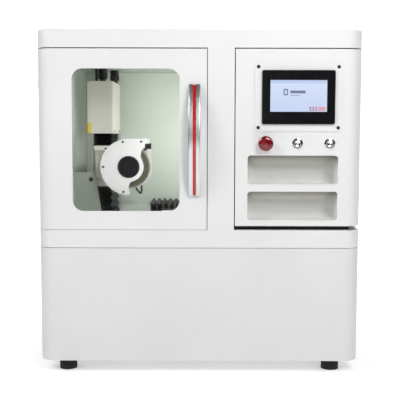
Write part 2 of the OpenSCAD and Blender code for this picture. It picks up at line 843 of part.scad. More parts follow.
// Slide body with the nut's bore and the clamp around the spindle housing
module z_saddle() {
    color([0.80, 0.81, 0.80]) from_front() difference() {
        union() {
            slab([-316, -262], [212, 262], [saddle_z0, saddle_z1 - 14]);
            slab([-318, -216], [200, 262], [saddle_z1 - 14, saddle_z1]);
            slab([-264, -160], [214, 270], [wheel_z - 31, wheel_z + 49]);
        }
        rod_z(col_x, screw_d, [saddle_z0 - 1, saddle_z1 + 1], 7.06);
        rod_y(wheel_x, [190, 280], wheel_z, spindle_r + 0.05);
        for (z = [22, 96]) translate([-305, 206, saddle_z0 + z]) rotate([-90, 0, 0])
            cylinder(h = 14, r = 4.5);
    }
}

module slide_carriages() {
    color(steel) from_front() difference() {
        for (z = [10, 72]) slab([-317, -271], [262, 296], [saddle_z0 + z, saddle_z0 + z + 42]);
        slab([col_x - 12, col_x + 12], [rail_d0 - 0.5, 301], [saddle_z0, saddle_z1]);
    }
}

module spindle_housing() {
    d0 = guard_d0 + guard_d;
    color([0.55, 0.56, 0.58]) from_front() difference() {
        turned(wheel_x, d0 + 214, wheel_z) polygon([[0, 0], [spindle_r - 8, 0],
            [spindle_r - 4, 5], [spindle_r - 4, 16], [spindle_r, 20],
            [spindle_r, 196], [spindle_r + 4, 200], [spindle_r + 4, 210],
            [spindle_r, 214], [0, 214]]);
        rod_y(wheel_x, [d0 - 1, d0 + 190], wheel_z, 12.05);
        for (k = [0:9]) rotate([0, 0, 0])
            turned(wheel_x, d0 + 60 + k * 12, wheel_z)
                translate([spindle_r, 0]) square([3, 5], center = true);
    }
}

module spindle_cable() {
    x = wheel_x;
    z = wheel_z;
    color(black) from_front() {
        swept(route([[x + 8, 194, z - 41.6], [x + 9.5, 193, z - 50],
            [x + 14.5, 192, z - 61.5], [x + 22, 192, z - 74], [x + 30.5, 192, z - 81.5],
            [x + 33.5, 192, z - 72], [x + 33, 192, z - 56], [x + 32, 193, z - 42],
            [x + 31.2, 194, z - 32.2]], 4), 2.65, 10);
    }
}

module spindle_shaft() {
    d0 = guard_d0 + guard_d;
    color(steel) from_front() {
        rod_y(wheel_x, [d0 - 14, d0 + 188], wheel_z, 12);
        rod_y(wheel_x, [wheel_d0 - 10, d0 - 13], wheel_z, 8);
        rod_y(wheel_x, [wheel_d0 + wheel_t, wheel_d0 + wheel_t + 6], wheel_z, 15.5);
    }
}

module grinding_wheel() {
    r = wheel_d / 2;
    t = wheel_t;
    color([0.36, 0.34, 0.25]) from_front() turned(wheel_x, wheel_d0 + t, wheel_z)
        polygon([[8.01, 1], [24, 1], [26, 2], [r - 7, 2], [r - 5, 0], [r - 1, 0], [r, 1.2],
            [r, t - 1.2], [r - 1, t], [r - 5, t], [r - 7, t - 2], [26, t - 2],
            [24, t - 1], [8.01, t - 1]]);
}

module wheel_flange() {
    color(steel) from_front() difference() {
        union() {
            turned(wheel_x, wheel_d0 + 1, wheel_z) polygon([[0, 0], [19, 0], [19, 2.6],
                [16, 4.6], [0, 4.6]]);
            translate([wheel_x, wheel_d0 - 3.5, wheel_z]) rotate([90, 0, 0])
                cylinder(h = 6.5, r = 13, $fn = 6);
        }
        rod_y(wheel_x, [wheel_d0 - 20, wheel_d0 + 2], wheel_z, 8.01);
    }
}

// Small valve and spout on the end of the guard's flat top
module coolant_nozzle() {
    x = wheel_x;
    z = wheel_z;
    color(black) from_front() {
        difference() {
            union() {
                slab([x + 49, x + 57.5], [140, 154], [z + 53, z + 68]);
                rod_x([x + 47.7, x + 49.5], 147, z + 62, 5);
                rod_y(x + 53, [153, 176], z + 61, 3.4);
            }
            rod_x([x + 52, x + 58], 147, z + 60.5, 2.06);
        }
        translate([x + 52, 147, z + 55]) rotate([0, 228, 0]) {
            cylinder(h = 6, r = 3.4);
            translate([0, 0, 6]) cylinder(h = 4.8, r1 = 3.4, r2 = 1.8);
        }
    }
}

module nozzle_knob() {
    x = wheel_x;
    z = wheel_z + 60.5;
    color(black) from_front() {
        rod_x([x + 52.4, x + 58.5], 147, z, 2);
        translate([x + 58, 147, z]) rotate([0, 90, 0]) linear_extrude(7.4) union() {
            circle(7.4);
            for (k = [0:9]) rotate(k * 36) translate([7.3, 0]) circle(1.1);
        }
    }
}

module z_ballscrew() {
    color(steel) from_front() {
        rod_z(col_x, screw_d, [pad_z + 3, pad_z + 14], 5);
        rod_z(col_x, screw_d, [pad_z + 13, cover_z0 - 3], 7);
        rod_z(col_x, screw_d, [cover_z0 - 4, cover_z0 + 28], 4);
    }
}

// ---- Cross slide ----

module x_ballscrew() {
    color(steel) from_front() {
        rod_x([-250, 14], lead_d, lead_z, 6);
        rod_x([13, 32], lead_d, lead_z, 4);
    }
}

module x_table() {
    color(white) from_front() difference() {
        union() {
            slab([table_x0, table_x1], [table_d0, table_d1], [way_z + 15, table_z]);
            for (y = [225, 350], x = [table_x0 + 2, table_x1 - 36])
                slab([x, x + 34], [y - 17, y + 17], [way_z + 3, way_z + 16]);
        }
        for (y = [225, 350])
            slab([table_x0 - 1, table_x1 + 1], [y - 8, y + 8], [way_z, way_z + 13.5]);
        rod_x([table_x0 - 1, table_x1 + 1], lead_d, lead_z, 6.06);
        for (y = [240, 287.5, 335]) upright_slot(y);
    }
}

module upright_slot(y) {
    slab([table_x0 - 1, table_x1 + 1], [y - 3, y + 3], [table_z - 12, table_z + 1]);
    slab([table_x0 - 1, table_x1 + 1], [y - 6, y + 6], [table_z - 12, table_z - 6]);
}

// Indexing head on a bracket in front of the table
module work_head() {
    z = work_z;
    color([0.80, 0.81, 0.80]) from_front() difference() {
        union() {
            slab([table_x0, -52], [186, table_d0], [pad_z + 6, deck_z + 52]);
            slab([-112, -52], [122, 187], [z - 45, z + 16]);
            rod_x([-118, -111], work_d, z, 15.8);
        }
        rod_x([-119, -60], work_d, z, 10.05);
        for (x = [table_x0 + 14, table_x1 - 14]) rod_y(x, [180, 194], deck_z + 36, 4.5);
        slab([-100, -64], [120, 130], [z - 38, z - 12]);
    }
}

module collet_chuck() {
    z = work_z;
    color(steel) from_front() difference() {
        union() {
            rod_x([-119, -62], work_d, z, 10);
            translate([-140, work_d, z]) rotate([0, 90, 0]) rotate_extrude() polygon(
                [[0, 0], [10, 0], [14, 4], [14, 16], [12.5, 17], [12.5, 21.5], [0, 21.5]]);
        }
        rod_x([-141, -100], work_d, z, 3);
        for (k = [0:5]) translate([-140, work_d, z]) rotate([k * 60, 0, 0])
            slab([5, 15], [-1.4, 1.4], [12.6, 16]);
    }
}

module upper_bellows() {
    color(black) from_front() bellows([-323, -265], [213, 410],
        [saddle_z1 + 0.2, cover_z0 - 0.2], 6, 5);
}

module lower_bellows() {
    color(black) from_front() bellows([-323, -265], [213, 410],
        [pad_z + 0.2, saddle_z0 - 0.2], 6.5, 7);
}

module x_bellows() {
    color(black) from_front() multmatrix([[0, 0, 1, 0], [-1, 0, 0, 0], [0, -1, 0, 0]])
        bellows([-table_d1 - 2, -table_d0 - 1], [-table_z - 9, -way_z - 4],
            [table_x1 + 0.3, wall_r - 0.3], 9, 9, 1);
}

// ---- Left door ----

// Plan of a wrapped door between two distances inside its face, for the left side
module door_strip(x_free, i0, i1) {
    r = corner_r;
    difference() {
        union() {
            translate([-half_w + r, i0]) square([x_free + half_w - r, i1 - i0]);
            translate([-half_w + i0, r]) square([i1 - i0, side_d - r]);
            intersection() {
                difference() {
                    translate([-half_w + r, r]) circle(r - i0);
                    translate([-half_w + r, r]) circle(r - i1);
                }
                translate([-half_w, 0]) square([r, r]);
            }
        }
    }
}

// Folded door skin with returns along all four edges and a lip inside them
module door_shell(x_free, z) {
    translate([0, 0, z[0]]) linear_extrude(z[1] - z[0]) door_strip(x_free, 0, sheet);
    for (h = [z[0], z[1] - sheet])
        translate([0, 0, h]) linear_extrude(sheet) door_strip(x_free, 0, door_t);
    slab([x_free - sheet, x_free], [0, door_t], z);
    slab([x_free - 14, x_free], [door_t - sheet, door_t], z);
    slab([-half_w, -half_w + door_t], [side_d - sheet, side_d], z);
    translate([0, 0, z[0]]) linear_extrude(14) door_strip(x_free, door_t - sheet, door_t);
    translate([0, 0, z[1] - 14]) linear_extrude(14)
        door_strip(x_free, door_t - sheet, door_t);
    slab([-half_w + door_t - sheet, -half_w + door_t], [side_d - 14, side_d], z);
}

module window_outline(grow) {
    translate([win_x, win_z])
        round_rect(window_w + 2 * grow, window_h + 2 * grow, window_r + grow);
}

module left_door_panel() {
    z = [sill_z + door_gap, lintel_z - 3];
    color(white) from_front() difference() {
        union() {
            door_shell(left_free, z);
            mirror([1, 0, 0]) for (h = hinge_z) hinge_door_half(h);
        }
        upright([-1, sheet + 1]) window_outline(0);
        for (s = [-1, 1]) rod_y(handle_x, [-1, sheet + 1], handle_z + s * 130, 3.1);
    }
}

module window_pane() {
    color([0.80, 0.86, 0.84, 0.35]) from_front()
        upright([sheet + 1.5, sheet + 1.5 + pane_t]) window_outline(9);
}

// Rubber channel around the pane's edge
module window_seal() {
    color(black) from_front() difference() {
        upright([sheet, sheet + pane_t + 4]) difference() {
            window_outline(12);
            window_outline(0.8);
        }
        upright([sheet + 1.45, sheet + 1.55 + pane_t]) window_outline(9.05);
    }
}

// The bow's section: a flat bar with rounded edges and a groove along its outer face
module bow_section() {
    ro = bow_r;
    difference() {
        translate([ro - handle_t / 2, 0]) round_rect(handle_t, handle_w, 3);
        translate([ro - 2.6, -4.6]) square([4, 9.2]);
    }
}

module bow(half) {
    translate([handle_x, bow_r - handle_out, handle_z]) rotate([0, 90, 0])
        rotate([0, 0, 270 - half]) rotate_extrude(angle = 2 * half) children();
}

module door_handle() {
    color([0.80, 0.81, 0.83]) from_front() {
        difference() {
            bow(handle_half) bow_section();
            slab([-60, 40], [0, 60], [handle_z - 200, handle_z + 200]);
        }
        for (s = [-1, 1]) difference() {
            rod_y(handle_x, [-12.5, 0], handle_z + s * 130, 8);
            rod_y(handle_x, [-9, 1], handle_z + s * 130, 3);
        }
    }
}

module handle_insert() {
    color([0.72, 0.08, 0.07]) from_front() difference() {
        bow(handle_half - 0.4) translate([bow_r - 2.5, -4.5]) square([2.3, 9]);
        slab([-60, 40], [-1, 60], [handle_z - 200, handle_z + 200]);
    }
}

// ---- Right door ----

module right_door_panel() {
    z = [sill_z + lower_gap, lintel_z - 3];
    color(white) from_front() difference() {
        union() {
            mirror([1, 0, 0]) door_shell(-right_free, z);
            for (h = hinge_z) hinge_door_half(h);
        }
        upright([-1, sheet + 1]) {
            translate([plate_x, plate_z]) square([194, 140], center = true);
            for (s = tray_z) translate([tray_x, s]) round_rect(tray_w, tray_h, tray_r);
            translate([stop_x, button_z]) circle(11.2);
            translate([power_x, button_z]) circle(11.2);
            translate([start_x, button_z]) circle(11.2);
            for (x = [-110, 110], y = [-83, 83])
                translate([plate_x + x, plate_z + y]) circle(2.2);
        }
    }
}

// A tray's body: its outline with the inner end swept round into all four walls
module scoop(grow, d0) {
    w = tray_w + 2 * grow;
    h = tray_h + 2 * grow;
    r = scoop_r + grow;
    module end_profile(side) {
        translate([-side / 2 + r, d0]) square([side - 2 * r, tray_d + grow - d0]);
        translate([-side / 2, d0]) square([side, tray_d - scoop_r - d0]);
        for (s = [-1, 1]) translate([s * (side / 2 - r), tray_d - scoop_r]) circle(r);
    }
    intersection() {
        upright([d0, tray_d + grow]) round_rect(w, h, tray_r + grow);
        translate([0, 0, -h / 2]) linear_extrude(h) end_profile(w);
        translate([-w / 2, 0, 0]) rotate([0, 90, 0]) linear_extrude(w)
            end_profile(h);
    }
}

// Two deep-drawn trays whose inner ends are swept round like a scoop
module storage_trays() {
    color(white) from_front() for (s = tray_z) translate([tray_x, 0, s]) difference() {
        union() {
            scoop(1.5, sheet);
            upright([sheet, sheet + 1.5]) round_rect(tray_w + 18, tray_h + 16, tray_r + 6);
        }
        scoop(0, sheet - 1);
    }
}

module control_plate() {
    color(white) from_front() upright([-2.5, 0]) difference() {
        translate([plate_x, plate_z]) round_rect(plate_w, plate_h, 8);
        translate([plate_x, plate_z]) square([192, 138], center = true);
        for (x = [-110, 110], y = [-83, 83])
            translate([plate_x + x, plate_z + y]) circle(2.6);
    }
}

// Touch panel with a raised frame; its case passes through the plate and the door
module touch_panel() {
    color(black) from_front() difference() {
        union() {
            upright([-8, -2.5]) translate([plate_x, plate_z]) round_rect(hmi_w, hmi_h, 5);
            upright([-3, 6]) translate([plate_x, plate_z]) round_rect(191, 137, 3);
            upright([5, 38]) translate([plate_x, plate_z]) round_rect(184, 130, 4);
        }
        upright([-9, -6.8]) translate([plate_x, screen_z])
            square([screen_w + 0.2, screen_h + 0.2], center = true);
        for (x = [-60:12:60]) slab([plate_x + x, plate_x + x + 5], [34, 39],
            [plate_z - 40, plate_z + 40]);
    }
}

module touch_screen() {
    color([0.80, 0.86, 0.94]) from_front() upright([-7.9, -6.8])
        translate([plate_x, screen_z]) square([screen_w, screen_h], center = true);
}

module plate_screws() {
    color(black) from_front() for (x = [-110, 110], y = [-83, 83])
        button_screw(plate_x + x, -2.5, plate_z + y, 4.75, 8);
}

// Bezels of the three buttons, with their barrels through the door and their nuts
module button_bezels() {
    r = bezel_d / 2;
    color([0.82, 0.83, 0.85]) from_front() {
        for (x = [power_x, start_x]) difference() {
            union() {
                turned(x, 0, button_z) polygon([[0, 0], [r, 0], [r, 1.6], [r - 1, 2.8],
                    [r - 2.4, 3.2], [0, 3.2]]);
                rod_y(x, [-1, 30], button_z, 11);
                translate([x, 8, button_z]) rotate([90, 0, 0])
                    cylinder(h = 8 - sheet, r = 14.5, $fn = 6);
            }
            rod_y(x, [-4, 20], button_z, 10.3);
        }
        difference() {
            union() {
                rod_y(stop_x, [-8, 0], button_z, 14);
                rod_y(stop_x, [-1, 34], button_z, 11);
                translate([stop_x, 8, button_z]) rotate([90, 0, 0])
                    cylinder(h = 8 - sheet, r = 14.5, $fn = 6);
            }
            rod_y(stop_x, [-9, 24], button_z, 7.06);
        }
    }
}

// Mushroom head on its stem
module stop_button() {
    r = stop_d / 2;
    color([0.62, 0.05, 0.06]) from_front() {
        rod_y(stop_x, [-14, 16], button_z, 7);
        turned(stop_x, -14, button_z) intersection() {
            polygon([[0, 0], [r - 5, 0], [r - 0.6, 3], [r, 5], [r, 9], [r - 1.4, 11.6],
                [r - 4, 13.4], [r - 8, 14.6], [0, 15.6]]);
            square([r, 20]);
        }
    }
}

// A polished cap with a dished face
module button_cap(x) {
    turned(x, 14, button_z) difference() {
        polygon([[0, 0], [10.2, 0], [10.2, 17.6], [9.6, 18.4], [8.6, 18.6], [0, 18.6]]);
        translate([0, 44.6]) circle(27.2);
    }
}

module power_button() {
    color([0.82, 0.83, 0.85]) from_front() button_cap(power_x);
}

module start_button() {
    color([0.82, 0.83, 0.85]) from_front() button_cap(start_x);
}

base_shell();
foot_pads();
foot_studs();
machine_bed();
upper_shell();
rear_panel();
door_seals();
chamber_liner();
chamber_ceiling();
chamber_floor();
side_cover_plate();
cover_plug();
z_column();
linear_rails();
axis_motors();
z_motor_cover();
cable_glands();
conduits();
mounting_plate();
servo_drives();
power_supply();
cord_gland();
hinge_pins();
panel_screws();
z_saddle();
slide_carriages();
spindle_housing();
wheel_guard();
guard_cover();
guard_badge();
guard_screws();
spindle_cable();
upper_bellows();
lower_bellows();
spindle_shaft();
grinding_wheel();
wheel_flange();
coolant_nozzle();
nozzle_knob();
z_ballscrew();
x_ballscrew();
x_table();
work_head();
x_bellows();
collet_chuck();
left_door_panel();
window_pane();
window_seal();
door_handle();
handle_insert();
right_door_panel();
storage_trays();
control_plate();
touch_panel();
touch_screen();
plate_screws();
button_bezels();
stop_button();
power_button();
start_button();
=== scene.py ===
"""Looks for a tool sharpening machine, laid out as an add-on and run as a script."""

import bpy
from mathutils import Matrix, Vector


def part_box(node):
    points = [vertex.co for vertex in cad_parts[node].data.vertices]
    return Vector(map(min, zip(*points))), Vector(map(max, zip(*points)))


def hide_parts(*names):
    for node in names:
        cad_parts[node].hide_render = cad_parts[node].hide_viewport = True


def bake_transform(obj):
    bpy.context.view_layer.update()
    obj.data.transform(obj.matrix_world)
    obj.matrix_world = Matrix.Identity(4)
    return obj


bl_info = {
    "name": "Tool Sharpening Machine Looks",
    "version": (1, 0, 0),
    "blender": (4, 5, 0),
    "location": "View3D > Sidebar > Sharpener",
    "description": "Finishes and fine pieces for a tool sharpening machine",
    "category": "Object",
}

import bmesh
import bpy
import numpy as np
from bpy.props import (
    FloatProperty,
    FloatVectorProperty,
    IntProperty,
    PointerProperty,
)
from mathutils import Matrix, Vector

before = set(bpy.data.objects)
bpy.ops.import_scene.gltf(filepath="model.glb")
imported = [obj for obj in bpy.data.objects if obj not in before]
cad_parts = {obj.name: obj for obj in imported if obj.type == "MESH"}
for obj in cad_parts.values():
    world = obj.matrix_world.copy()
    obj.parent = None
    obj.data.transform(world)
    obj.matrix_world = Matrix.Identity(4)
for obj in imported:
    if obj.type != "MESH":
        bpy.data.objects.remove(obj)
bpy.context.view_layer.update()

# Lengths are in metres, but for the camera's sensor.

# Depth of a pleat of each folded cover
FOLD_DEPTH = {"upper_bellows": 0.005, "lower_bellows": 0.007, "x_bellows": 0.009}
COVER_SKIN = 0.0016
# Above 1, a pleat's outside is sharper than its inside
FOLD_SHARPNESS = 1.1
# Rows of faces to half a pleat, and columns on each side and on the front of a folded cover
HALF_ROWS, SIDE_COLUMNS, FRONT_COLUMNS = 4, 4, 8
# Where the grinding wheel's resin body ends and its band of grains begins
GRAIN_BAND = (0.0565, 0.0575)
# The yellow patch on the motor cover: across, front to back, height above the edge, top
PATCH_ACROSS, PATCH_DEEP, PATCH_LOW, PATCH_HIGH = 0.0115, 0.004, 0.0005, 0.032
PATCH_OVERLAP = 0.001
# Two trays share the height of their node's box, with this much added at each end
TRAYS, TRAY_MARGIN = 2, 0.002
# Painted shade on each tray's coat, from a tray's bottom (0) to its top (1): darker under the
# upper lip
TRAY_PAINTED_SHADE = (
    (0.0, (0.95, 0.95, 0.94)),
    (0.45, (0.95, 0.95, 0.93)),
    (0.68, (0.74, 0.735, 0.70)),
    (0.84, (0.34, 0.33, 0.285)),
    (0.94, (0.20, 0.19, 0.16)),
)
# Plain shapes on the screen: left, right, bottom and top in shares of it, and the colour
SCREEN_SHAPES = (
    ((0.0, 1.0, 0.90, 1.0), (0.50, 0.60, 0.84)),  # strip along the top
    ((0.23, 0.31, 0.52, 0.72), (0.16, 0.22, 0.40)),  # picture frame
    ((0.25, 0.29, 0.56, 0.68), (0.62, 0.70, 0.90)),  # inside of the frame
    ((0.35, 0.62, 0.58, 0.67), (0.17, 0.20, 0.30)),  # thick bar
    ((0.35, 0.52, 0.50, 0.53), (0.36, 0.42, 0.58)),  # thin bar
    ((0.69, 0.825, 0.03, 0.16), (0.42, 0.26, 0.42)),  # left key
    ((0.72, 0.745, 0.05, 0.14), (0.66, 0.62, 0.80)),  # first bar on it
    ((0.77, 0.80, 0.05, 0.14), (0.66, 0.62, 0.80)),  # second bar on it
    ((0.845, 0.97, 0.03, 0.16), (0.72, 0.36, 0.42)),  # right key
)
# The sweep's section: front end, start and radius of its bend, top, and half its width
SWEEP_FRONT, SWEEP_BEND, SWEEP_RADIUS, SWEEP_TOP, SWEEP_HALF = -6.0, 1.5, 1.5, 6.0, 7.0
SWEEP_STEPS = 17
# The floor darkens and glows more towards the camera, between these places on Y
FLOOR_TONE, FLOOR_GLOW, GLOW_GAIN = (-0.8, -2.6), (-1.2, -3.2), 3
FLOOR_NEAR, FLOOR_FAR = (0.5,) * 3, (0.9,) * 3
# Camera: its sensor in millimetres, and how far it sees
SENSOR_WIDTH, CAMERA_REACH = 36.0, 50
# Painted shade: the base housing's tone as a darker share of the white coat, and that of pieces
# painted like the chamber as darker shares of its green
BASE_PAINTED_SHADE = 0.95
GREEN_PAINTED_SHADE = (("side_cover_plate", 0.52), ("x_table", 0.72), ("chamber_ceiling", 0.76))
# Name, place, aim, width, height and power of each softbox
LAMPS = (
    ("left front", (-2.0, -2.0, 2.5), (0, 0, 0.9), 1.4, 1.4, 49),
    ("right side", (2.7, -1.6, 2.4), (0.2, 0, 0.9), 1.2, 1.2, 14),
    ("near right", (0.9, -2.5, 2.05), (-0.1, 0.1, 0.7), 0.9, 1.2, 41),
    ("behind", (0, 1.1, 3.6), (0, 3.2, 1.2), 3.0, 1.0, 80),
    ("chamber strip", (-0.006, -0.13, 0.60), (-0.22, 0.146, 0.53), 0.04, 0.46, 0.78),
    ("chamber right", (-0.012, -0.27, 0.60), (-0.25, 0.146, 0.54), 0.04, 0.40, 0.40),
    ("chamber left", (-0.343, -0.07, 0.775), (-0.5, -0.07, 0.775), 0.36, 0.19, 0.035),
    ("column side", (-0.343, 0.02, 0.62), (-0.5, 0.02, 0.62), 0.22, 0.10, 0.03),
    ("head fill", (-0.30, -0.29, 0.56), (-0.31, 0.0, 0.57), 0.05, 0.10, 0.012),
)
# The same for the cards that only gloss and plating reflect
CARDS = (
    ("front card", (-0.05, -4.4, 1.3), (-0.05, 0, 1.3), 1.0, 2.6, 3.0),
    ("low card", (0.0, -3.6, 0.25), (0, 0, 0.5), 5.0, 0.5, 4.0),
)


# ---------------------------------------------------------------- sizes and colours


class SharpenerCabinet(bpy.types.PropertyGroup):
    """Colours of the cabinet's finishes."""

    white: FloatVectorProperty(
        name="White coat", description="Powder coat on the cabinet and doors",
        subtype="COLOR", size=3, min=0, max=1, default=(0.74, 0.74, 0.74))
    green: FloatVectorProperty(
        name="Chamber green", description="Paint inside the grinding chamber",
        subtype="COLOR", size=3, min=0, max=1, default=(0.63, 0.69, 0.61))
    beige: FloatVectorProperty(
        name="Cover beige", description="Paint on the motor cover",
        subtype="COLOR", size=3, min=0, max=1, default=(0.68, 0.67, 0.60))
    peel: FloatProperty(
        name="Orange peel", description="Height of the powder coat's ripple",
        unit="LENGTH", default=0.00012, min=0, max=0.001)


class SharpenerHead(bpy.types.PropertyGroup):
    """Sizes of the soft covers and the wheel."""

    folds_low: IntProperty(
        name="Lower folds", description="Half pleats of the lower bellows",
        default=13, min=3, max=40)
    folds_high: IntProperty(
        name="Upper folds", description="Half pleats of the upper bellows",
        default=12, min=2, max=40)
    folds_cross: IntProperty(
        name="Cross folds", description="Half pleats of the cross slide's bellows",
        default=18, min=3, max=40)
    grit: FloatProperty(
        name="Grit size", description="Size of the grinding wheel's grains",
        unit="LENGTH", default=0.0012, min=0.0002, max=0.004)


class SharpenerStage(bpy.types.PropertyGroup):
    """Camera and light."""

    distance: FloatProperty(
        name="Camera distance", description="Distance of the camera from the front",
        unit="LENGTH", default=2.15, min=1, max=6)
    aside: FloatProperty(
        name="Camera offset", description="Sideways place of the camera",
        unit="LENGTH", default=0.0017, min=-1, max=1)
    height: FloatProperty(
        name="Camera height", description="Height of the camera above the floor",
        unit="LENGTH", default=0.673, min=0.1, max=3)
    pitch: FloatProperty(
        name="Camera pitch", description="How far the camera looks down",
        subtype="ANGLE", default=0.0834, min=-0.5, max=0.5)
    roll: FloatProperty(
        name="Camera roll", description="Turn of the camera about its line of sight",
        subtype="ANGLE", default=0.0024, min=-0.1, max=0.1)
    focal: FloatProperty(
        name="Focal length", description="Focal length in millimetres",
        default=70.0, min=20, max=200)
    surround: FloatProperty(
        name="Surround", description="Brightness of the plain view beyond the backdrop",
        default=1.0, min=0, max=4)
    backdrop: FloatProperty(
        name="Backdrop", description="Glow of the floor and backdrop",
        default=0.30, min=0, max=4)


# ---------------------------------------------------------------- mesh helpers


def linked(data):
    """Object of the same name for a mesh, lamp or camera, put in the scene."""
    obj = bpy.data.objects.new(data.name, data)
    bpy.context.scene.collection.objects.link(obj)
    return obj


def mesh_of(name, points, faces, material):
    """Mesh from an (n, 3) array of points and a list of faces."""
    mesh = bpy.data.meshes.new(name)
    mesh.from_pydata(points.tolist(), [], faces)
    mesh.materials.append(material)
    return mesh


def grid_faces(rows, cols, closed=False):
    """Quads of a grid of rows by cols points, where index = row * cols + column. A closed
    grid's last column joins its first."""
    i = np.arange(rows - 1)
    j = np.arange(cols if closed else cols - 1)
    a, b = np.meshgrid(i, j, indexing="ij")
    a, b = a.ravel(), b.ravel()
    c, d = a + 1, (b + 1) % cols
    return np.stack([a * cols + b, a * cols + d, c * cols + d, c * cols + b], 1).tolist()


def recalculate(obj):
    """Merges doubles and turns every face outwards."""
    bm = bmesh.new()
    bm.from_mesh(obj.data)
    bmesh.ops.remove_doubles(bm, verts=bm.verts, dist=1e-6)
    bmesh.ops.recalc_face_normals(bm, faces=bm.faces)
    bm.to_mesh(obj.data)
    bm.free()
    return obj


# ---------------------------------------------------------------- node helpers


class Nodes:
    """A material under construction: short calls for nodes and links."""

    def __init__(self, name):
        self.mat = bpy.data.materials.new(name)
        self.mat.use_nodes = True
        self.tree = self.mat.node_tree
        self.tree.nodes.clear()
        self.out = self.tree.nodes.new("ShaderNodeOutputMaterial")

    @classmethod
    def reopened(cls, material):
        """A finished material again, to change its colour."""
        n = cls.__new__(cls)
        n.mat, n.tree = material, material.node_tree
        n.shader = next(k for k in n.tree.nodes if k.type == "BSDF_PRINCIPLED")
        return n

    def colour(self):
        """What the material's colour comes from."""
        return self.shader.inputs["Base Color"].links[0].from_socket

    def add(self, kind, **settings):
        node = self.tree.nodes.new("ShaderNode" + kind)
        for key, value in settings.items():
            setattr(node, key, value)
        return node

    def put(self, node, socket, value):
        """Links a socket, or sets a plain value."""
        target = node.inputs[socket]
        if isinstance(value, bpy.types.NodeSocket):
            self.tree.links.new(value, target)
        else:
            target.default_value = value

    def coords(self):
        """Object coordinates: the piece's own frame, in metres."""
        return self.add("TexCoord").outputs["Object"]

    def axes(self):
        """X, Y and Z of the Object coordinates."""
        node = self.add("SeparateXYZ")
        self.put(node, 0, self.coords())
        return tuple(node.outputs)

    def mapped(self, scale=(1, 1, 1), move=(0, 0, 0)):
        node = self.add("Mapping")
        self.put(node, "Vector", self.coords())
        node.inputs["Scale"].default_value = scale
        node.inputs["Location"].default_value = move
        return node.outputs["Vector"]

    def noise(self, scale, detail=3.0, rough=0.5, vector=None):
        node = self.add("TexNoise")
        self.put(node, "Vector", vector or self.coords())
        node.inputs["Scale"].default_value = scale
        node.inputs["Detail"].default_value = detail
        node.inputs["Roughness"].default_value = rough
        return node.outputs["Fac"]

    def voronoi(self, scale):
        """Cells of the given number to a metre; its outputs give distance and tone."""
        node = self.add("TexVoronoi", feature="F1")
        self.put(node, "Vector", self.coords())
        node.inputs["Scale"].default_value = scale
        return node.outputs

    def math(self, op, a, b=0.0):
        node = self.add("Math", operation=op)
        self.put(node, 0, a)
        self.put(node, 1, b)
        return node.outputs[0]

    def between(self, value, low, high):
        """1 where the value lies between low and high."""
        return self.math("MULTIPLY", self.math("GREATER_THAN", value, low),
                         self.math("LESS_THAN", value, high))

    def ramp(self, fac, stops):
        node = self.add("ValToRGB")
        elements = node.color_ramp.elements
        for element, (at, colour) in zip((elements[0], elements[1]), (stops[0], stops[-1])):
            element.position = at
            element.color = (*colour, 1)
        for at, colour in stops[1:-1]:
            elements.new(at).color = (*colour, 1)
        self.put(node, "Fac", fac)
        return node.outputs["Color"]

    def range(self, value, low, high, to_low=0.0, to_high=1.0):
        node = self.add("MapRange")
        for key, v in (("Value", value), ("From Min", low), ("From Max", high),
                       ("To Min", to_low), ("To Max", to_high)):
            self.put(node, key, v)
        return node.outputs["Result"]

    def mix(self, fac, a, b, blend="MIX"):
        node = self.add("Mix", data_type="RGBA", blend_type=blend)
        self.put(node, 0, fac)
        self.put(node, 6, a if isinstance(a, bpy.types.NodeSocket) else (*a, 1))
        self.put(node, 7, b if isinstance(b, bpy.types.NodeSocket) else (*b, 1))
        return node.outputs[2]

    def bump(self, height, distance, strength):
        node = self.add("Bump")
        self.put(node, "Height", height)
        node.inputs["Distance"].default_value = distance
        node.inputs["Strength"].default_value = strength
        return node.outputs["Normal"]

    def surface(self, colour, rough, metallic=0.0, normal=None, **extra):
        shader = self.add("BsdfPrincipled")
        if isinstance(colour, bpy.types.NodeSocket):
            self.put(shader, "Base Color", colour)
        else:
            shader.inputs["Base Color"].default_value = (*colour, 1)
        self.put(shader, "Roughness", rough)
        shader.inputs["Metallic"].default_value = metallic
        if normal is not None:
            self.put(shader, "Normal", normal)
        for key, value in extra.items():
            shader.inputs[key.replace("_", " ")].default_value = value
        self.tree.links.new(shader.outputs[0], self.out.inputs["Surface"])
        self.shader = shader
        return self.mat


# ---------------------------------------------------------------- materials


def shade(colour, share):
    """A colour made darker, to the given share of itself."""
    return tuple(v * share for v in colour)


def powder_coat(name, colour, rough, peel, grime=0.03):
    """Powder coat: a fine ripple, faint cloudiness in the colour and uneven gloss."""
    n = Nodes(name)
    cloud = n.noise(5.0, 4.0, 0.55)
    fine = n.noise(900.0, 2.0, 0.5)
    ripple = n.noise(260.0, 2.0, 0.6)
    tint = n.mix(n.range(cloud, 0.35, 0.65), shade(colour, 1 - grime), colour)
    height = n.math("ADD", n.math("MULTIPLY", ripple, 0.8), n.math("MULTIPLY", fine, 0.2))
    return n.surface(tint, n.range(fine, 0.2, 0.8, rough - 0.05, rough + 0.06),
                     normal=n.bump(height, peel, 0.35), Specular_IOR_Level=0.45)


def brushed(name, colour, rough, along, metallic=1.0):
    """Metal with fine drawn lines: noise stretched along one direction."""
    n = Nodes(name)
    lines = n.noise(40.0, 4.0, 0.7, n.mapped(scale=along))
    smudge = n.noise(14.0, 3.0, 0.5)
    tint = n.mix(n.range(lines, 0.3, 0.7), shade(colour, 0.88), colour)
    r = n.math("ADD", n.range(lines, 0.2, 0.8, rough - 0.06, rough + 0.08),
               n.range(smudge, 0.4, 0.8, 0.0, 0.07))
    return n.surface(tint, r, metallic, n.bump(lines, 0.00004, 0.4))


